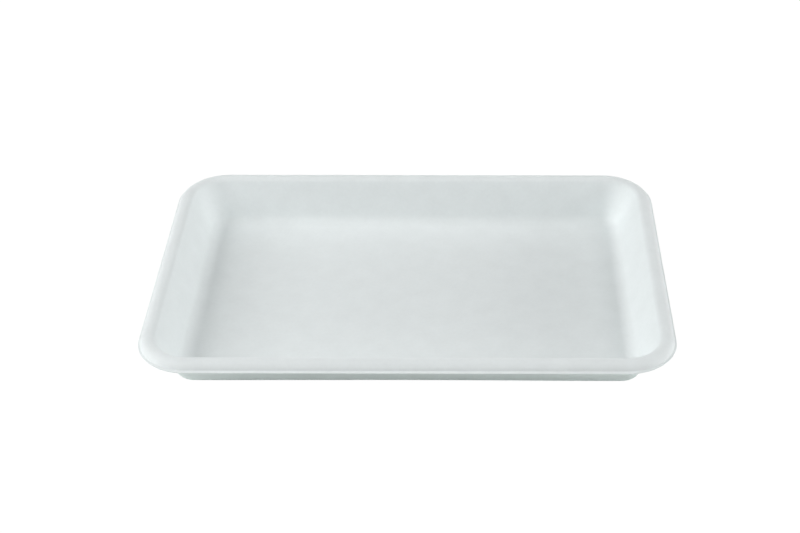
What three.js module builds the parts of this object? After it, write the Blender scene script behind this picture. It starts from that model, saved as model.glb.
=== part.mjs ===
// A shallow rectangular food tray, moulded from white pulp in one piece.
// Units are millimetres, +Z is up. The origin is on the surface that the tray stands on,
// under the middle of the tray. X runs along the tray, Y across it.

import * as THREE from 'three';

// Overall size, measured over the cut edge.
const TRAY_LENGTH = 210;
const TRAY_WIDTH = 146;
const TRAY_HEIGHT = 19;

// Thickness of the pulp: pressed thinner at the cut edge than in the walls and floor, and by the
// heel thicker under the bend between wall and floor, which makes the outside of that bend tighter.
const EDGE_THICKNESS = 0.4;
const WALL_THICKNESS = 1.2;
const HEEL = 0.5;

// The rim, from the cut edge inwards: a narrow lip that climbs a little, then a rounded bead. One
// arc climbs from the lip to the crest, and a tighter one turns down from the crest into the wall.
const LIP_DROOP = THREE.MathUtils.degToRad(20);
const LIP_FILLET = 0.2;
const BEAD_RISE = 3.1;
const END_CREST_INSET = 4.3;
const SIDE_CREST_INSET = 4.6;
const BEAD_OUTER_RADIUS = 3.7;
const END_BEAD_RADIUS = 2.8;
const SIDE_BEAD_RADIUS = 3.35;

// Walls lean outwards from upright. The two ends lean a little more than the two long sides.
const END_LEAN = THREE.MathUtils.degToRad(27.7);
const SIDE_LEAN = THREE.MathUtils.degToRad(26.6);
const FLOOR_FILLET = 6;

// Outline: corner radius at the cut edge, and how far the middle of a wall is drawn in at its
// foot. The lip runs straight, and the walls are drawn in more the further they are below it.
const CORNER_RADIUS = 21.2;
const SIDE_BOW = 0.35;
const END_BOW = 0.2;

// Fineness of the faces.
const CORNER_STEPS = 10;
const SIDE_STEPS = 8;
const END_STEPS = 6;
const LIP_STEPS = 2;
const BEAD_OUTER_STEPS = 5;
const BEAD_INNER_STEPS = 4;
const FLOOR_STEPS = 5;

// Heights that follow from the sizes above, and the directions that the floor and the lip face.
const LIP_TOP = TRAY_HEIGHT - BEAD_RISE;
const FLOOR_TOP = WALL_THICKNESS;
const UPWARD = Math.PI / 2;
const LIP_NORMAL = UPWARD + LIP_DROOP;

/**
 * One place on the tray's section. Its upper face lies at signed radius from a centre, in the
 * direction of the face's normal; a hollow bend has a negative radius. The section's axes are
 * inset, counted inwards from the cut edge, and height.
 */
function station(inset, height, radius, normal, thickness) {
  return { inset, height, radius, normal, thickness };
}

/** Stations along a round bend, from one direction of the normal to another. */
function bend(inset, height, radius, from, to, steps, thicknessFrom, thicknessTo) {
  const stations = [];
  for (let step = 0; step <= steps; step++) {
    const share = step / steps;
    const normal = THREE.MathUtils.lerp(from, to, share);
    const thickness = THREE.MathUtils.lerp(thicknessFrom, thicknessTo, share);
    stations.push(station(inset, height, radius, normal, thickness));
  }
  return stations;
}

/** The bend between wall and floor, with the heel's thickness added towards its middle. */
function thickenHeel(stations) {
  return stations.map((place, step) => {
    const added = HEEL * Math.sin(Math.PI * step / FLOOR_STEPS) ** 2;
    return { ...place, thickness: place.thickness + added };
  });
}

/**
 * From the centre of the bead's outer arc to the centre of the hollow bend between it and the
 * lip, which lies a fillet's radius above the lip and off the arc.
 */
function lipBendOffset(crestInset, outerHeight) {
  const across = new THREE.Vector2(Math.cos(LIP_NORMAL), Math.sin(LIP_NORMAL));
  const along = new THREE.Vector2(across.y, -across.x);
  const start = new THREE.Vector2(-crestInset, LIP_TOP - outerHeight)
    .addScaledVector(across, LIP_FILLET);
  const reach = BEAD_OUTER_RADIUS + LIP_FILLET;
  const way = -start.dot(along) - Math.sqrt(reach ** 2 - start.dot(across) ** 2);
  return start.addScaledVector(along, way);
}

/**
 * The tray's section from the cut edge to the floor, for a wall that leans by the given angle. The
 * bead's crest lies at the given inset, and the bead turns into the wall with the given radius.
 */
function section(crestInset, innerRadius, lean) {
  const outerHeight = TRAY_HEIGHT - BEAD_OUTER_RADIUS;
  const innerHeight = TRAY_HEIGHT - innerRadius;

  const lipBend = lipBendOffset(crestInset, outerHeight);
  const lipInset = crestInset + lipBend.x;
  const lipHeight = outerHeight + lipBend.y;
  const outward = lipBend.angle();

  const wallTopInset = crestInset + innerRadius * Math.cos(lean);
  const wallTopHeight = innerHeight + innerRadius * Math.sin(lean);
  const wallFootInset = wallTopInset + (wallTopHeight - FLOOR_TOP) * Math.tan(lean);
  const floorBend = wallFootInset + FLOOR_FILLET * Math.tan((UPWARD - lean) / 2);

  return [
    station(0, LIP_TOP, 0, LIP_NORMAL, EDGE_THICKNESS),
    ...bend(lipInset, lipHeight, -LIP_FILLET, LIP_NORMAL, outward, LIP_STEPS,
      EDGE_THICKNESS, EDGE_THICKNESS),
    ...bend(crestInset, outerHeight, BEAD_OUTER_RADIUS, outward, UPWARD, BEAD_OUTER_STEPS,
      EDGE_THICKNESS, WALL_THICKNESS).slice(1),
    ...bend(crestInset, innerHeight, innerRadius, UPWARD, lean, BEAD_INNER_STEPS,
      WALL_THICKNESS, WALL_THICKNESS).slice(1),
    ...thickenHeel(bend(floorBend, FLOOR_TOP + FLOOR_FILLET, -FLOOR_FILLET, lean, UPWARD,
      FLOOR_STEPS, WALL_THICKNESS, WALL_THICKNESS)),
  ];
}

/** The point of a station on the tray's upper face, or on its lower face. */
function facePoint(place, isLower) {
  const reach = place.radius - (isLower ? place.thickness : 0);
  return {
    inset: place.inset + reach * Math.cos(place.normal),
    height: place.height + reach * Math.sin(place.normal),
  };
}

/**
 * How far a wall is drawn in: by nothing at its two ends and from the lip up, and by the full bow
 * in its middle at the height of its foot.
 */
function drawnIn(bow, along, height) {
  const depth = THREE.MathUtils.clamp(1 - height / LIP_TOP, 0, 1);
  return bow * depth * (1 + Math.cos(Math.PI * along)) / 2;
}

/**
 * One closed ring round the tray, anticlockwise seen from above, through the given point of
 * the end walls' section and the given point of the side walls' section.
 */
function ring(end, side) {
  const radius = CORNER_RADIUS - (end.inset + side.inset) / 2;
  const centreX = TRAY_LENGTH / 2 - end.inset - radius;
  const centreY = TRAY_WIDTH / 2 - side.inset - radius;
  const points = [];
  for (let quarter = 0; quarter < 4; quarter++) {
    const signX = quarter === 0 || quarter === 3 ? 1 : -1;
    const signY = quarter < 2 ? 1 : -1;
    for (let step = 0; step <= CORNER_STEPS; step++) {
      const turn = (quarter + step / CORNER_STEPS) * Math.PI / 2;
      const shareOfSide = Math.sin(turn) ** 2;
      points.push(new THREE.Vector3(
        signX * centreX + radius * Math.cos(turn),
        signY * centreY + radius * Math.sin(turn),
        THREE.MathUtils.lerp(end.height, side.height, shareOfSide),
      ));
    }
    const isSide = quarter % 2 === 0;
    const steps = isSide ? SIDE_STEPS : END_STEPS;
    for (let step = 1; step < steps; step++) {
      const along = -1 + 2 * step / steps;
      points.push(isSide
        ? new THREE.Vector3(
          -signX * along * centreX,
          signY * (centreY + radius - drawnIn(SIDE_BOW, along, side.height)),
          side.height,
        )
        : new THREE.Vector3(
          signX * (centreX + radius - drawnIn(END_BOW, along, end.height)),
          -signY * along * centreY,
          end.height,
        ));
    }
  }
  return points;
}

/** A closed skin over a row of rings, with its first and last ring closed by flat fans. */
function closedSkin(rings) {
  const count = rings[0].length;
  const positions = rings.flat().flatMap((point) => point.toArray());
  const faces = [];
  for (let row = 0; row + 1 < rings.length; row++) {
    for (let column = 0; column < count; column++) {
      const next = (column + 1) % count;
      const a = row * count + column;
      const b = (row + 1) * count + column;
      const c = (row + 1) * count + next;
      const d = row * count + next;
      faces.push(a, b, c, a, c, d);
    }
  }
  const firstCentre = positions.length / 3;
  positions.push(0, 0, rings[0][0].z);
  const lastCentre = firstCentre + 1;
  const lastRow = (rings.length - 1) * count;
  positions.push(0, 0, rings.at(-1)[0].z);
  for (let column = 0; column < count; column++) {
    const next = (column + 1) % count;
    faces.push(firstCentre, column, next);
    faces.push(lastCentre, lastRow + next, lastRow + column);
  }
  const geometry = new THREE.BufferGeometry();
  geometry.setAttribute('position', new THREE.Float32BufferAttribute(positions, 3));
  geometry.setIndex(faces);
  geometry.computeVertexNormals();
  return geometry;
}

/** The whole tray: up the inside, over the rim, round the cut edge and back underneath. */
function trayGeometry() {
  const endSection = section(END_CREST_INSET, END_BEAD_RADIUS, END_LEAN);
  const sideSection = section(SIDE_CREST_INSET, SIDE_BEAD_RADIUS, SIDE_LEAN);
  const face = (isLower) => endSection.map((place, index) => ring(
    facePoint(place, isLower),
    facePoint(sideSection[index], isLower),
  ));
  return closedSkin([...face(false).reverse(), ...face(true)]);
}

const pulp = new THREE.MeshStandardMaterial({ color: 0xeef3f3, roughness: 0.8, metalness: 0 });

const tray = new THREE.Mesh(trayGeometry(), pulp);
tray.name = 'tray';

const model = new THREE.Group();
model.add(tray);

export default model;
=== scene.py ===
"""A shallow food tray of moulded white pulp, standing empty on a plain white floor.

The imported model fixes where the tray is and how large. Its shell is modelled again here from the same
sizes, with finer faces and slightly uneven, as pressed pulp is, and gets the finish of the pulp.
Everything is in metres, with +Z up. The tray stands on the plane z = 0, its length along X.
"""

import logging
import math
from collections.abc import Iterable
from dataclasses import dataclass, replace
from enum import Enum

import bmesh
import bpy
from mathutils import Matrix, Vector, noise


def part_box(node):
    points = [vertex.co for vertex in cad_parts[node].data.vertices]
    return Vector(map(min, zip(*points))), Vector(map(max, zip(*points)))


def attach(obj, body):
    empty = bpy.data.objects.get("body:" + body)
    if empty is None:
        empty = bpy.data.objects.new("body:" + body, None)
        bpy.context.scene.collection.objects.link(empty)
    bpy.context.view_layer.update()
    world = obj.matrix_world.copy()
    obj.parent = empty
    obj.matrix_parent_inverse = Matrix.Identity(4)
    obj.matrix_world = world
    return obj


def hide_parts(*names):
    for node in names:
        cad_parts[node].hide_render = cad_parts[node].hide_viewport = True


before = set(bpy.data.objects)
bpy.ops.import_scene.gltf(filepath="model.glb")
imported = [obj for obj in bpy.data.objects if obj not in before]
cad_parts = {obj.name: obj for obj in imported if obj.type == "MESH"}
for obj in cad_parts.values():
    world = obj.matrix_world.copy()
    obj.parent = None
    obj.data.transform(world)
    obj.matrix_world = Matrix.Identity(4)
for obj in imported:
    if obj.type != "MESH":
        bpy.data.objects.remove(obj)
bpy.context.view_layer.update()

MM = 0.001
UPWARD = math.pi / 2
NOISE_MIDDLE = 0.5
Layers = dict[str, bmesh.types.BMLayerItem]

log = logging.getLogger("tray")


class Wall(Enum):
    """The two kinds of wall that the tray's section is drawn for."""

    END = "end"
    SIDE = "side"


class Face(Enum):
    """The two faces of the pulp. The value is the face's material slot on the piece."""

    INSIDE = 0
    UNDERSIDE = 1


class SocketKind(Enum):
    """The kinds of socket that the node groups have."""

    VECTOR = "NodeSocketVector"
    NUMBER = "NodeSocketFloat"


# ---------------------------------------------------------------------------------------------------
# Shader helpers and the effects that the two pulp finishes share
# ---------------------------------------------------------------------------------------------------


class NodeSheet:
    """A node tree with short ways to place nodes and join them."""

    def __init__(self, tree: bpy.types.NodeTree) -> None:
        """Keeps the tree.

        Args:
            tree: The material's tree, or a node group.
        """
        self.tree = tree

    def add(self, kind: str, **settings: object) -> bpy.types.Node:
        """Places a node and sets its own properties.

        Args:
            kind: The node's type name.
            **settings: Properties of the node, such as operation.

        Returns:
            The new node.
        """
        node = self.tree.nodes.new(kind)
        for name, value in settings.items():
            setattr(node, name, value)
        return node

    def join(self, output: bpy.types.NodeSocket, target: bpy.types.NodeSocket) -> None:
        """Links an output to an input."""
        self.tree.links.new(output, target)

    def maths(
        self, operation: str, *terms: "bpy.types.NodeSocket | float", clamp: bool = False
    ) -> bpy.types.NodeSocket:
        """Places a Math node.

        Args:
            operation: The node's operation.
            *terms: Sockets or numbers, in the order of the node's inputs.
            clamp: Whether the result is kept from 0 to 1.

        Returns:
            The node's output.
        """
        node = self.add("ShaderNodeMath", operation=operation, use_clamp=clamp)
        for term, socket in zip(terms, node.inputs):
            if isinstance(term, bpy.types.NodeSocket):
                self.join(term, socket)
            else:
                socket.default_value = term
        return node.outputs["Value"]


@dataclass(frozen=True)
class GroupSocket:
    """One named input or output of a shader node group."""

    name: str
    kind: SocketKind
    value: float | None = None


class PulpEffects:
    """The shader node groups that both faces of the pulp use, each built once."""

    GRAIN_DETAIL = 3.0
    STRAND_DETAIL = 1.0
    STRAND_WAVINESS = 0.6
    STRAND_TURNS = (math.radians(25), math.radians(112))
    STRAND_TILT = (0.3, 0.2)
    STRAND_STRETCH = (0.16, 1.0, 1.0)

    def __init__(self) -> None:
        """Builds the groups."""
        self.mottle = self._mottle()
        self.fibres = self._fibres()

    @staticmethod
    def _new_group(
        name: str, inputs: Iterable[GroupSocket], outputs: Iterable[GroupSocket]
    ) -> tuple[NodeSheet, bpy.types.Node, bpy.types.Node]:
        """Makes an empty group with its named sockets.

        Args:
            name: The group's name.
            inputs: The sockets that go in.
            outputs: The sockets that come out.

        Returns:
            The group's sheet, its input node and its output node.
        """
        tree = bpy.data.node_groups.new(name, "ShaderNodeTree")
        for way, sockets in (("INPUT", inputs), ("OUTPUT", outputs)):
            for socket in sockets:
                made = tree.interface.new_socket(
                    socket.name, in_out=way, socket_type=socket.kind.value
                )
                if socket.value is not None:
                    made.default_value = socket.value
        sheet = NodeSheet(tree)
        return sheet, sheet.add("NodeGroupInput"), sheet.add("NodeGroupOutput")

    def _mottle(self) -> bpy.types.NodeTree:
        """Clouds where the pulp lies a little thicker or thinner, with finer specks in them.

        Returns:
            The group: Position, Clouds, Specks, Cloud Depth and Speck Depth in; Shade out, about 1.
        """
        sheet, given, result = self._new_group(
            "pulp mottle",
            [
                GroupSocket("Position", SocketKind.VECTOR),
                GroupSocket("Clouds", SocketKind.NUMBER, 110.0),
                GroupSocket("Specks", SocketKind.NUMBER, 700.0),
                GroupSocket("Cloud Depth", SocketKind.NUMBER, 0.02),
                GroupSocket("Speck Depth", SocketKind.NUMBER, 0.02),
            ],
            [GroupSocket("Shade", SocketKind.NUMBER)],
        )
        shade: bpy.types.NodeSocket | float = 1.0
        for size, depth, detail in (("Clouds", "Cloud Depth", 3.0), ("Specks", "Speck Depth", 2.0)):
            field = sheet.add("ShaderNodeTexNoise")
            field.inputs["Detail"].default_value = detail
            sheet.join(given.outputs["Position"], field.inputs["Vector"])
            sheet.join(given.outputs[size], field.inputs["Scale"])
            around_zero = sheet.maths("SUBTRACT", field.outputs["Fac"], NOISE_MIDDLE)
            shade = sheet.maths("MULTIPLY_ADD", around_zero, given.outputs[depth], shade)
        sheet.join(shade, result.inputs["Shade"])
        return sheet.tree

    def _fibres(self) -> bpy.types.NodeTree:
        """Short matted fibres: fine noise drawn out along two crossing directions, over a grain.

        Returns:
            The group: Position, Fibre Count, Fibre Share and Grain in; Height out, about 0 to 1.
        """
        sheet, given, result = self._new_group(
            "pulp fibres",
            [
                GroupSocket("Position", SocketKind.VECTOR),
                GroupSocket("Fibre Count", SocketKind.NUMBER, 500.0),
                GroupSocket("Fibre Share", SocketKind.NUMBER, 0.5),
                GroupSocket("Grain", SocketKind.NUMBER, 1600.0),
            ],
            [GroupSocket("Height", SocketKind.NUMBER)],
        )
        grain = sheet.add("ShaderNodeTexNoise")
        grain.inputs["Detail"].default_value = self.GRAIN_DETAIL
        sheet.join(given.outputs["Position"], grain.inputs["Vector"])
        sheet.join(given.outputs["Grain"], grain.inputs["Scale"])
        mats = []
        for turn in self.STRAND_TURNS:
            lie = sheet.add("ShaderNodeMapping")
            lie.inputs["Rotation"].default_value = (*self.STRAND_TILT, turn)
            lie.inputs["Scale"].default_value = self.STRAND_STRETCH
            sheet.join(given.outputs["Position"], lie.inputs["Vector"])
            strands = sheet.add("ShaderNodeTexNoise")
            strands.inputs["Detail"].default_value = self.STRAND_DETAIL
            strands.inputs["Distortion"].default_value = self.STRAND_WAVINESS
            sheet.join(lie.outputs["Vector"], strands.inputs["Vector"])
            sheet.join(given.outputs["Fibre Count"], strands.inputs["Scale"])
            mats.append(strands.outputs["Fac"])
        matted = sheet.maths("MAXIMUM", *mats)
        gap = sheet.maths("SUBTRACT", matted, grain.outputs["Fac"])
        height = sheet.maths("MULTIPLY_ADD", gap, given.outputs["Fibre Share"], grain.outputs["Fac"])
        sheet.join(height, result.inputs["Height"])
        return sheet.tree


@dataclass(frozen=True)
class PulpFinish:
    """White pulp as one face of it looks: its colour, its mottle and its matted fibres.

    The shade colour is painted shade on the cut edge, and the cut roughness, which is added, shows where
    the fibres are cut through.
    Clouds and specks of the mottle have a depth each, as a share of the colour, and the fibres a
    relief in metres.
    """

    name: str
    colour: tuple[float, float, float] = (0.855, 0.900, 0.902)
    # Painted shade: the darker, greener tint that the thin cut edge gets.
    shade_colour: tuple[float, float, float] = (0.790, 0.850, 0.840)
    cloud_depth: float = 0.07
    speck_depth: float = 0.05
    roughness: float = 0.66
    roughness_spread: float = 0.14
    cut_roughness: float = 0.2
    fibre_count: float = 420.0
    fibre_share: float = 0.45
    grain: float = 1300.0
    relief: float = 0.00003
    specular: float = 0.32

    def material(self, effects: PulpEffects) -> bpy.types.Material:
        """Makes the material.

        Args:
            effects: The shared node groups.

        Returns:
            The finished material.
        """
        made = bpy.data.materials.new(self.name)
        made.use_nodes = True
        sheet = NodeSheet(made.node_tree)
        surface = made.node_tree.nodes["Principled BSDF"]
        surface.inputs["Specular IOR Level"].default_value = self.specular

        place = sheet.add("ShaderNodeTexCoord").outputs["Object"]
        mottle = sheet.add("ShaderNodeGroup", node_tree=effects.mottle)
        mottle.inputs["Cloud Depth"].default_value = self.cloud_depth
        mottle.inputs["Speck Depth"].default_value = self.speck_depth
        sheet.join(place, mottle.inputs["Position"])
        fibres = sheet.add("ShaderNodeGroup", node_tree=effects.fibres)
        fibres.inputs["Fibre Count"].default_value = self.fibre_count
        fibres.inputs["Fibre Share"].default_value = self.fibre_share
        fibres.inputs["Grain"].default_value = self.grain
        sheet.join(place, fibres.inputs["Position"])

        cut = sheet.add("ShaderNodeAttribute", attribute_name=TrayShell.CUT_EDGE)
        self._colour(sheet, surface, mottle.outputs["Shade"], cut.outputs["Fac"])
        spread = sheet.maths("SUBTRACT", fibres.outputs["Height"], NOISE_MIDDLE)
        dull = sheet.maths("MULTIPLY_ADD", spread, self.roughness_spread, self.roughness)
        rough = sheet.maths(
            "MULTIPLY_ADD", cut.outputs["Fac"], self.cut_roughness, dull, clamp=True
        )
        sheet.join(rough, surface.inputs["Roughness"])

        bump = sheet.add("ShaderNodeBump")
        bump.inputs["Strength"].default_value = 1.0
        bump.inputs["Distance"].default_value = self.relief
        sheet.join(fibres.outputs["Height"], bump.inputs["Height"])
        sheet.join(bump.outputs["Normal"], surface.inputs["Normal"])
        return made

    def _colour(
        self,
        sheet: NodeSheet,
        surface: bpy.types.Node,
        shade: bpy.types.NodeSocket,
        cut: bpy.types.NodeSocket,
    ) -> None:
        """Tints the pulp by its mottle, and paints a little shade, darker and greener, on the cut edge.

        Args:
            sheet: The material's tree.
            surface: The Principled node.
            shade: The mottle, about 1.
            cut: 1 on the cut edge and 0 elsewhere.
        """
        # The cut edge gets the shade colour: painted shade on the thin outward edge.
        tint = sheet.add("ShaderNodeMix", data_type="RGBA")
        tint.inputs["A"].default_value = (*self.colour, 1.0)
        tint.inputs["B"].default_value = (*self.shade_colour, 1.0)
        sheet.join(cut, tint.inputs["Factor"])
        varied = sheet.add("ShaderNodeVectorMath", operation="SCALE")
        sheet.join(tint.outputs["Result"], varied.inputs["Vector"])
        sheet.join(shade, varied.inputs["Scale"])
        sheet.join(varied.outputs["Vector"], surface.inputs["Base Color"])


# ---------------------------------------------------------------------------------------------------
# The tray
# ---------------------------------------------------------------------------------------------------


@dataclass(frozen=True)
class Station:
    """A place on the section: a point of the upper face, the way it faces and the pulp under it.

    Inset is counted inwards from the cut edge. The normal is an angle in the plane of the section,
    from inwards (0) over upwards to outwards.
    """

    inset: float
    height: float
    normal: float
    thickness: float

    def point(self, depth: float = 0.0) -> tuple[float, float]:
        """The inset and height of the point that lies this share of the thickness down."""
        sunk = self.thickness * depth
        return self.inset - sunk * math.cos(self.normal), self.height - sunk * math.sin(self.normal)


@dataclass(frozen=True)
class SectionPoint:
    """One point of the closed section, for the end walls and for the side walls together."""

    end: tuple[float, float]
    side: tuple[float, float]
    cut: float
    face: Face


@dataclass(frozen=True)
class TraySection:
    """The tray's section, from the middle of a corner's bend out to the cut edge.

    The height is the bead's, and the reach is how far the section runs in from the cut edge. From
    that edge a lip climbs inwards at its droop, one arc climbs to the bead's crest, and another
    turns down into the wall, which leans outwards and bends into the floor.
    """

    height: float
    reach: float
    edge_thickness: float = 0.4 * MM
    wall_thickness: float = 1.2 * MM
    edge_rounding: float = 0.15 * MM
    lip_droop: float = math.radians(20)
    lip_fillet: float = 0.2 * MM
    bead_rise: float = 3.1 * MM
    end_crest_inset: float = 4.3 * MM
    side_crest_inset: float = 4.6 * MM
    bead_outer_radius: float = 3.7 * MM
    end_bead_radius: float = 2.8 * MM
    side_bead_radius: float = 3.35 * MM
    end_lean: float = math.radians(27.7)
    side_lean: float = math.radians(26.6)
    floor_fillet: float = 6.0 * MM
    heel: float = 0.5 * MM
    arc_steps: int = 9
    lip_steps: int = 3
    wall_steps: int = 10
    floor_steps: int = 4
    cut_steps: int = 3

    @property
    def lip_top(self) -> float:
        """Height of the lip's upper face at the cut edge."""
        return self.height - self.bead_rise

    def _bend(
        self, centre: tuple[float, float], radius: float, turn: tuple[float, float],
        thickness: tuple[float, float],
    ) -> list[Station]:
        """Stations round a bend.

        Args:
            centre: Inset and height of the bend's centre.
            radius: Its radius, negative for a hollow bend.
            turn: The normal at its start and at its end.
            thickness: The pulp's thickness at its start and at its end.

        Returns:
            The stations in order.
        """
        stations = []
        for step in range(self.arc_steps + 1):
            share = step / self.arc_steps
            normal = turn[0] + (turn[1] - turn[0]) * share
            stations.append(
                Station(
                    centre[0] + radius * math.cos(normal),
                    centre[1] + radius * math.sin(normal),
                    normal,
                    thickness[0] + (thickness[1] - thickness[0]) * share,
                )
            )
        return stations

    def _thicken_heel(self, stations: list[Station]) -> list[Station]:
        """Lets the pulp lie thicker under the middle of a bend, which makes its outside tighter.

        Args:
            stations: The stations round the bend.

        Returns:
            The same stations with the heel's thickness added.
        """
        swollen = []
        for step, place in enumerate(stations):
            added = self.heel * math.sin(math.pi * step / self.arc_steps) ** 2
            swollen.append(replace(place, thickness=place.thickness + added))
        return swollen

    def _straight(self, start: Station, end: Station, steps: int) -> list[Station]:
        """Stations between two others on a flat stretch, without those two.

        Args:
            start: The station before the stretch.
            end: The station after it.
            steps: How many faces the stretch has.

        Returns:
            The stations in order.
        """
        between = []
        for step in range(1, steps):
            share = step / steps
            between.append(
                Station(
                    start.inset + (end.inset - start.inset) * share,
                    start.height + (end.height - start.height) * share,
                    start.normal,
                    start.thickness + (end.thickness - start.thickness) * share,
                )
            )
        return between

    def stations(self, wall: Wall) -> list[Station]:
        """The upper face, from the cut edge in to the middle of a corner's bend.

        Args:
            wall: The kind of wall, which sets its lean, where its crest lies and how the bead
                turns into it.

        Returns:
            The stations in order. Both kinds of wall give the same number of them.
        """
        is_end = wall is Wall.END
        lean = self.end_lean if is_end else self.side_lean
        crest_inset = self.end_crest_inset if is_end else self.side_crest_inset
        inner_radius = self.end_bead_radius if is_end else self.side_bead_radius
        thin, full = self.edge_thickness, self.wall_thickness

        edge = self._edge()
        outer_centre = (crest_inset, self.height - self.bead_outer_radius)
        inner_centre = (crest_inset, self.height - inner_radius)
        lip_centre = self._lip_bend_centre(edge, outer_centre)
        outward = math.atan2(lip_centre[1] - outer_centre[1], lip_centre[0] - outer_centre[0])
        wall_top = (
            inner_centre[0] + inner_radius * math.cos(lean),
            inner_centre[1] + inner_radius * math.sin(lean),
        )
        foot_inset = wall_top[0] + (wall_top[1] - full) * math.tan(lean)
        floor_centre = (
            foot_inset + self.floor_fillet * math.tan((UPWARD - lean) / 2),
            full + self.floor_fillet,
        )

        lip = self._bend(lip_centre, -self.lip_fillet, (edge.normal, outward), (thin, thin))
        outer = self._bend(outer_centre, self.bead_outer_radius, (outward, UPWARD), (thin, full))
        inner = self._bend(inner_centre, inner_radius, (UPWARD, lean), (full, full))
        floor = self._thicken_heel(
            self._bend(floor_centre, -self.floor_fillet, (lean, UPWARD), (full, full))
        )
        middle = Station(self.reach, full, UPWARD, full)
        return [
            edge,
            *self._straight(edge, lip[0], self.lip_steps),
            *lip,
            *outer[1:],
            *inner[1:],
            *self._straight(inner[-1], floor[0], self.wall_steps),
            *floor,
            *self._straight(floor[-1], middle, self.floor_steps),
            middle,
        ]

    def _edge(self) -> Station:
        """The last place of the lip's upper face, before the rounding of the cut edge."""
        inset = self.edge_rounding * (1 - math.sin(self.lip_droop))
        return Station(inset, self.lip_top, UPWARD + self.lip_droop, self.edge_thickness)

    def _lip_bend_centre(self, edge: Station, outer_centre: tuple[float, float]) -> tuple[float, float]:
        """The centre of the hollow bend that leads from the lip into the bead's outer arc.

        Args:
            edge: The lip's outermost place.
            outer_centre: The centre of the bead's outer arc.

        Returns:
            The inset and height of the centre: a fillet's radius off both.
        """
        across = Vector((math.cos(edge.normal), math.sin(edge.normal)))
        along = Vector((across.y, -across.x))
        start = Vector(edge.point()) + across * self.lip_fillet - Vector(outer_centre)
        reach = self.bead_outer_radius + self.lip_fillet
        way = -start.dot(along) - math.sqrt(reach**2 - start.dot(across) ** 2)
        return tuple(Vector(outer_centre) + start + along * way)

    def _cut_edge(self) -> list[tuple[float, float]]:
        """The rounded cut edge, from its top to its bottom.

        Returns:
            The insets and heights of its points, without the two that the faces already have.
        """
        edge = self._edge()
        rounding = self.edge_rounding
        points = []
        for depth, start in (
            (rounding / edge.thickness, edge.normal),
            (1.0 - rounding / edge.thickness, edge.normal + UPWARD),
        ):
            centre = edge.point(depth)
            for step in range(self.cut_steps + 1):
                turn = start + UPWARD * step / self.cut_steps
                points.append(
                    (centre[0] + rounding * math.cos(turn), centre[1] + rounding * math.sin(turn))
                )
        return points[1:-1]

    def closed(self) -> list[SectionPoint]:
        """The whole section: out along the upper face, round the cut edge and back underneath.

        Returns:
            Its points in order, from the middle of the corner's bend and back to it.
        """
        ends = self.stations(Wall.END)
        sides = self.stations(Wall.SIDE)
        pairs = list(zip(ends, sides))
        upper = [SectionPoint(e.point(), s.point(), 0.0, Face.INSIDE) for e, s in reversed(pairs)]
        cut = [SectionPoint(point, point, 1.0, Face.INSIDE) for point in self._cut_edge()]
        lower = [SectionPoint(e.point(1.0), s.point(1.0), 0.0, Face.UNDERSIDE) for e, s in pairs]
        return upper + cut + lower


@dataclass(frozen=True)
class Unevenness:
    """How far pressed pulp strays from its mould, and over what length, for each kind of wave."""

    swell: float = 0.05 * MM
    swell_size: float = 24 * MM
    dimple: float = 0.012 * MM
    dimple_size: float = 4.5 * MM
    fray: float = 0.05 * MM
    fray_size: float = 0.9 * MM
    calm_height: float = 2 * MM

    def wave(self, place: Vector, cut: float) -> float:
        """How far the surface strays at a place.

        Args:
            place: The place.
            cut: 1 on the cut edge, which is frayed too, and 0 elsewhere.

        Returns:
            The way towards the tray's inside, or towards its underside where it is negative.
        """
        wave = noise.noise(place / self.swell_size) * self.swell
        wave += noise.noise(place / self.dimple_size) * self.dimple
        wave += noise.noise(place / self.fray_size) * self.fray * cut
        return wave


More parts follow.
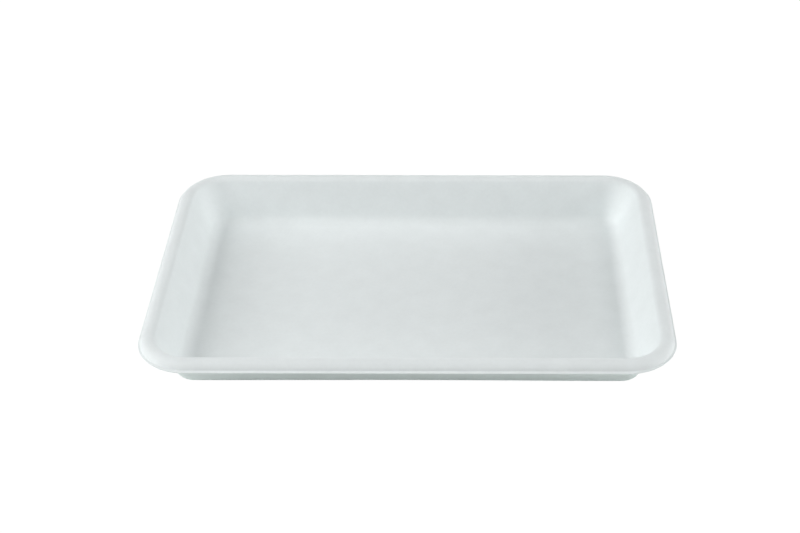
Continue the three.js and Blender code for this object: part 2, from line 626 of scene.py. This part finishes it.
@dataclass
class TrayShell:
    """The tray's thin shell, built over one quarter and mirrored twice.

    The vertex layers keep what takes a point from halfway to its own wall (shift and rise), on
    which face it lies (under) and whether it lies on the cut edge, which the finish reads too.
    """

    SHIFT = "shift"
    RISE = "rise"
    UNDER = "under"
    CUT_EDGE = "cut_edge"

    low: Vector
    high: Vector
    corner_radius: float = 21.2 * MM
    side_bow: float = 0.35 * MM
    end_bow: float = 0.2 * MM
    corner_steps: int = 20
    cell: float = 1.4 * MM
    merge_gap: float = 0.001 * MM
    unevenness: Unevenness = Unevenness()

    def __post_init__(self) -> None:
        """Works out what follows from the box and the corner."""
        self.half_length = (self.high.x - self.low.x) / 2
        self.half_width = (self.high.y - self.low.y) / 2
        self.corner = Vector(
            (self.half_length - self.corner_radius, self.half_width - self.corner_radius, 0)
        )
        self.section = TraySection(height=self.high.z, reach=self.corner_radius)

    def build(self, name: str, finishes: dict[Face, bpy.types.Material]) -> bpy.types.Object:
        """Makes the piece.

        Args:
            name: The piece's name.
            finishes: A material for each face of the pulp.

        Returns:
            The finished object, in place, at the origin.
        """
        shell = bmesh.new()
        scratch = (self.SHIFT, self.RISE, self.UNDER)
        layers = {key: shell.verts.layers.float.new(key) for key in (*scratch, self.CUT_EDGE)}
        quarter = self._quarter(shell, layers)
        log.info("quarter of the shell: %d faces", quarter)
        self._mirror(shell)
        self._fit_walls(shell, layers)
        self._press_unevenly(shell, layers)
        self._dress(shell, layers)
        mesh = bpy.data.meshes.new(name)
        for key in scratch:
            shell.verts.layers.float.remove(shell.verts.layers.float[key])
        shell.to_mesh(mesh)
        shell.free()
        for face in Face:
            mesh.materials.append(finishes[face])
        piece = bpy.data.objects.new(name, mesh)
        bpy.context.scene.collection.objects.link(piece)
        return piece

    def _dress(self, shell: bmesh.types.BMesh, layers: Layers) -> None:
        """Gives each polygon the material slot of its side of the pulp, and shades it smooth.

        Args:
            shell: The finished mesh.
            layers: Its number layers.
        """
        half = 0.5
        for polygon in shell.faces:
            under = sum(vert[layers[self.UNDER]] for vert in polygon.verts) / len(polygon.verts)
            polygon.material_index = (Face.UNDERSIDE if under > half else Face.INSIDE).value
            polygon.smooth = True

    def _draw_chain(self, shell: bmesh.types.BMesh, layers: Layers) -> list[bmesh.types.BMEdge]:
        """Draws the section where a corner's bend meets the end wall.

        The points lie halfway between the two kinds of wall, and each keeps in its layers what
        takes it to either.

        Args:
            shell: The mesh that is built.
            layers: Its number layers.

        Returns:
            The section's edges in order.
        """
        verts = []
        for point in self.section.closed():
            inset = (point.end[0] + point.side[0]) / 2
            height = (point.end[1] + point.side[1]) / 2
            vert = shell.verts.new((self.half_length - inset, self.corner.y, height))
            vert[layers[self.SHIFT]] = (point.side[0] - point.end[0]) / 2
            vert[layers[self.RISE]] = (point.side[1] - point.end[1]) / 2
            vert[layers[self.UNDER]] = float(point.face is Face.UNDERSIDE)
            vert[layers[self.CUT_EDGE]] = point.cut
            verts.append(vert)
        return [shell.edges.new(pair) for pair in zip(verts, verts[1:])]

    @staticmethod
    def _pull(
        shell: bmesh.types.BMesh, edges: list[bmesh.types.BMEdge], travel: Vector, steps: int
    ) -> list[bmesh.types.BMEdge]:
        """Extrudes edges along a straight line in equal steps.

        Args:
            shell: The mesh that is built.
            edges: The edges to start from.
            travel: The whole way.
            steps: How many faces long it becomes.

        Returns:
            The last row of edges.
        """
        for _ in range(steps):
            made = bmesh.ops.extrude_edge_only(shell, edges=edges)["geom"]
            edges = [item for item in made if isinstance(item, bmesh.types.BMEdge)]
            moved = [item for item in made if isinstance(item, bmesh.types.BMVert)]
            bmesh.ops.translate(shell, vec=travel / steps, verts=moved)
        return edges

    def _quarter(self, shell: bmesh.types.BMesh, layers: Layers) -> int:
        """Builds one quarter: the corner by a spin, the walls and the floor by extrusion.

        Args:
            shell: The mesh that is built.
            layers: Its number layers.

        Returns:
            The number of faces.
        """
        chain = self._draw_chain(shell, layers)
        chain_verts = {vert for edge in chain for vert in edge.verts}
        spun = bmesh.ops.spin(
            shell,
            geom=[*chain_verts, *chain],
            cent=self.corner,
            axis=(0, 0, 1),
            dvec=(0, 0, 0),
            angle=UPWARD,
            steps=self.corner_steps,
            use_merge=False,
            use_normal_flip=False,
            use_duplicate=False,
        )["geom_last"]
        turned = [item for item in spun if isinstance(item, bmesh.types.BMEdge)]
        end_steps = round(self.corner.y / self.cell)
        side_steps = round(self.corner.x / self.cell)
        self._pull(shell, chain, Vector((0, -self.corner.y, 0)), end_steps)
        self._pull(shell, turned, Vector((-self.corner.x, 0, 0)), side_steps)
        bmesh.ops.remove_doubles(shell, verts=shell.verts, dist=self.merge_gap)
        inner = [edge for edge in shell.edges if edge.is_boundary and self._bounds_floor(edge)]
        self._pull(shell, inner, Vector((0, -self.corner.y, 0)), end_steps)
        bmesh.ops.remove_doubles(shell, verts=shell.verts, dist=self.merge_gap)
        return len(shell.faces)

    def _bounds_floor(self, edge: bmesh.types.BMEdge) -> bool:
        """Whether an edge lies along the inner side of the long wall's strip."""
        return all(
            abs(vert.co.y - self.corner.y) < self.merge_gap and vert.co.x < self.corner.x + self.merge_gap
            for vert in edge.verts
        )

    def _mirror(self, shell: bmesh.types.BMesh) -> None:
        """Mirrors the quarter across both middle planes, and turns the faces outwards.

        Args:
            shell: The mesh that is built.
        """
        for axis in "XY":
            bmesh.ops.mirror(
                shell,
                geom=[*shell.verts, *shell.edges, *shell.faces],
                matrix=Matrix.Identity(4),
                merge_dist=self.merge_gap,
                axis=axis,
            )
        bmesh.ops.remove_doubles(shell, verts=shell.verts, dist=self.merge_gap)
        bmesh.ops.recalc_face_normals(shell, faces=shell.faces)

    def _fit_walls(self, shell: bmesh.types.BMesh, layers: Layers) -> None:
        """Moves each point from halfway to its own wall, and draws the walls' middles in at the foot.

        Args:
            shell: The mirrored mesh.
            layers: Its number layers.
        """
        for vert in shell.verts:
            across_x, across_y = abs(vert.co.x), abs(vert.co.y)
            along_x = min(1.0, across_x / self.corner.x)
            along_y = min(1.0, across_y / self.corner.y)
            turn = math.atan2(
                max(across_y - self.corner.y, 0.0), max(across_x - self.corner.x, 0.0)
            )
            shift, rise = vert[layers[self.SHIFT]], vert[layers[self.RISE]]
            depth = min(1.0, max(0.0, 1.0 - vert.co.z / self.section.lip_top))
            drawn_x = self.end_bow * depth * (1 + math.cos(math.pi * along_y)) / 2 * along_x
            drawn_y = self.side_bow * depth * (1 + math.cos(math.pi * along_x)) / 2 * along_y
            vert.co.x += (shift * along_x - drawn_x) * math.copysign(1, vert.co.x)
            vert.co.y -= (shift * along_y + drawn_y) * math.copysign(1, vert.co.y)
            vert.co.z -= rise * math.cos(2 * turn)

    def _press_unevenly(self, shell: bmesh.types.BMesh, layers: Layers) -> None:
        """Gives the pressed pulp its slight waviness, and its cut edge a ragged line.

        Both faces of the pulp stray the same way, and the underside is calm where it rests.

        Args:
            shell: The fitted mesh.
            layers: Its number layers.
        """
        shell.normal_update()
        moves = []
        for vert in shell.verts:
            under = vert[layers[self.UNDER]]
            wave = self.unevenness.wave(vert.co, vert[layers[self.CUT_EDGE]])
            facing = -1.0 if under else 1.0
            rests = under * max(0.0, 1.0 - vert.co.z / self.unevenness.calm_height)
            moves.append(vert.normal * (wave * facing * (1.0 - rests)))
        for vert, move in zip(shell.verts, moves):
            vert.co += move


# ---------------------------------------------------------------------------------------------------
# The floor, the lights and the camera
# ---------------------------------------------------------------------------------------------------


@dataclass(frozen=True)
class SoftBox:
    """A round soft light that faces the tray.

    Azimuth 0 is on the camera's side, 90 to the right of the tray.
    """

    name: str
    azimuth: float
    elevation: float
    power: float
    width: float = 0.5
    distance: float = 1.6

    def build(self) -> bpy.types.Object:
        """Makes the light.

        Returns:
            The light's object.
        """
        light = bpy.data.lights.new(self.name, "AREA")
        light.shape = "DISK"
        light.size = self.width
        light.energy = self.power
        around, up = math.radians(self.azimuth), math.radians(self.elevation)
        way = Vector(
            (math.sin(around) * math.cos(up), -math.cos(around) * math.cos(up), math.sin(up))
        )
        lamp = bpy.data.objects.new(self.name, light)
        lamp.location = way * self.distance
        lamp.rotation_euler = way.to_track_quat("Z", "Y").to_euler()
        bpy.context.scene.collection.objects.link(lamp)
        return lamp


@dataclass(frozen=True)
class Viewpoint:
    """The camera, where the photo's outline says it stood."""

    place: tuple[float, float, float] = (23.15 * MM, -552.1 * MM, 386.5 * MM)
    look_down: float = math.radians(33.88)
    turn_left: float = math.radians(0.195)
    focal_pixels: float = 1593.5
    axis_pixel: float = 462.5
    frame_pixels: float = 800.0
    sensor: float = 36.0
    nearest: float = 10 * MM

    def build(self) -> bpy.types.Object:
        """Makes the camera and gives it to the scene.

        Returns:
            The camera's object.
        """
        lens = bpy.data.cameras.new("viewpoint")
        lens.sensor_width = self.sensor
        lens.lens = self.sensor * self.focal_pixels / self.frame_pixels
        lens.shift_x = (self.frame_pixels / 2 - self.axis_pixel) / self.frame_pixels
        lens.clip_start = self.nearest
        camera = bpy.data.objects.new("viewpoint", lens)
        camera.location = self.place
        camera.rotation_euler = (UPWARD - self.look_down, 0, self.turn_left)
        bpy.context.scene.collection.objects.link(camera)
        bpy.context.scene.camera = camera
        return camera


@dataclass(frozen=True)
class Studio:
    """A white floor in soft light."""

    floor_size: float = 6.0
    floor_white: float = 0.95
    floor_lift: float = 0.98
    shadow_share: float = 0.07
    boxes: tuple[SoftBox, ...] = (
        SoftBox("left box", 270, 24, 7.7),
        SoftBox("left box high", 270, 40, 6.5),
        SoftBox("left box overhead", 270, 62, 3.6),
        SoftBox("right box low", 90, 12, 9.0),
        SoftBox("right box", 90, 24, 1.9),
        SoftBox("right box high", 90, 40, 3.8),
        SoftBox("front box low", 0, 4, 2.9),
        SoftBox("front box", 0, 40, 3.1),
        SoftBox("front left box", 315, 40, 2.6),
        SoftBox("back box low", 180, 4, 6.2),
        SoftBox("back right box", 135, 40, 2.2),
    )

    def build(self) -> None:
        """Makes the floor, the lights and what the camera sees beyond the floor."""
        self._floor()
        for box in self.boxes:
            box.build()
        self._surroundings()
        bpy.context.scene.view_settings.view_transform = "Standard"

    def _floor(self) -> None:
        """Makes the floor, which looks white to the camera with only a trace of shadow."""
        sheet_mesh = bmesh.new()
        bmesh.ops.create_grid(sheet_mesh, x_segments=1, y_segments=1, size=self.floor_size / 2)
        mesh = bpy.data.meshes.new("floor")
        sheet_mesh.to_mesh(mesh)
        sheet_mesh.free()
        floor = bpy.data.objects.new("floor", mesh)
        bpy.context.scene.collection.objects.link(floor)

        material = bpy.data.materials.new("white floor")
        material.use_nodes = True
        sheet = NodeSheet(material.node_tree)
        sheet.tree.nodes.clear()
        seen = sheet.add("ShaderNodeBsdfDiffuse")
        seen.inputs["Color"].default_value = (self.shadow_share,) * 3 + (1.0,)
        lift = sheet.add("ShaderNodeEmission")
        lift.inputs["Strength"].default_value = self.floor_lift
        bright = sheet.add("ShaderNodeAddShader")
        sheet.join(seen.outputs["BSDF"], bright.inputs[0])
        sheet.join(lift.outputs["Emission"], bright.inputs[1])
        lit = sheet.add("ShaderNodeBsdfDiffuse")
        lit.inputs["Color"].default_value = (self.floor_white,) * 3 + (1.0,)
        by_ray = sheet.add("ShaderNodeMixShader")
        ray = sheet.add("ShaderNodeLightPath")
        sheet.join(ray.outputs["Is Camera Ray"], by_ray.inputs["Fac"])
        sheet.join(lit.outputs["BSDF"], by_ray.inputs[1])
        sheet.join(bright.outputs["Shader"], by_ray.inputs[2])
        result = sheet.add("ShaderNodeOutputMaterial")
        sheet.join(by_ray.outputs["Shader"], result.inputs["Surface"])
        mesh.materials.append(material)

    def _surroundings(self) -> None:
        """Makes the world white to the camera and dark to everything else."""
        world = bpy.data.worlds.new("studio")
        world.use_nodes = True
        bpy.context.scene.world = world
        sheet = NodeSheet(world.node_tree)
        ray = sheet.add("ShaderNodeLightPath")
        sheet.join(ray.outputs["Is Camera Ray"], world.node_tree.nodes["Background"].inputs["Strength"])
        world.node_tree.nodes["Background"].inputs["Color"].default_value = (1.0, 1.0, 1.0, 1.0)


def main() -> None:
    """Builds the view, the studio and the tray."""
    logging.basicConfig(level=logging.INFO, format="%(message)s")
    Viewpoint().build()
    Studio().build()

    effects = PulpEffects()
    finishes = {
        Face.INSIDE: PulpFinish("pressed pulp").material(effects),
        # The underside's greener colour is a painted shade tint, the tint that the underside takes in
        # shade.
        Face.UNDERSIDE: PulpFinish(
            "underside pulp with painted shade tint", colour=(0.850, 0.925, 0.905), relief=0.00005, fibre_share=0.6
        ).material(effects),
    }
    low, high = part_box("tray")
    tray = TrayShell(low, high).build("moulded_tray", finishes)
    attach(tray, "root")
    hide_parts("tray")
    log.info("%s: %d faces", tray.name, len(tray.data.polygons))


if __name__ == "__main__":
    main()
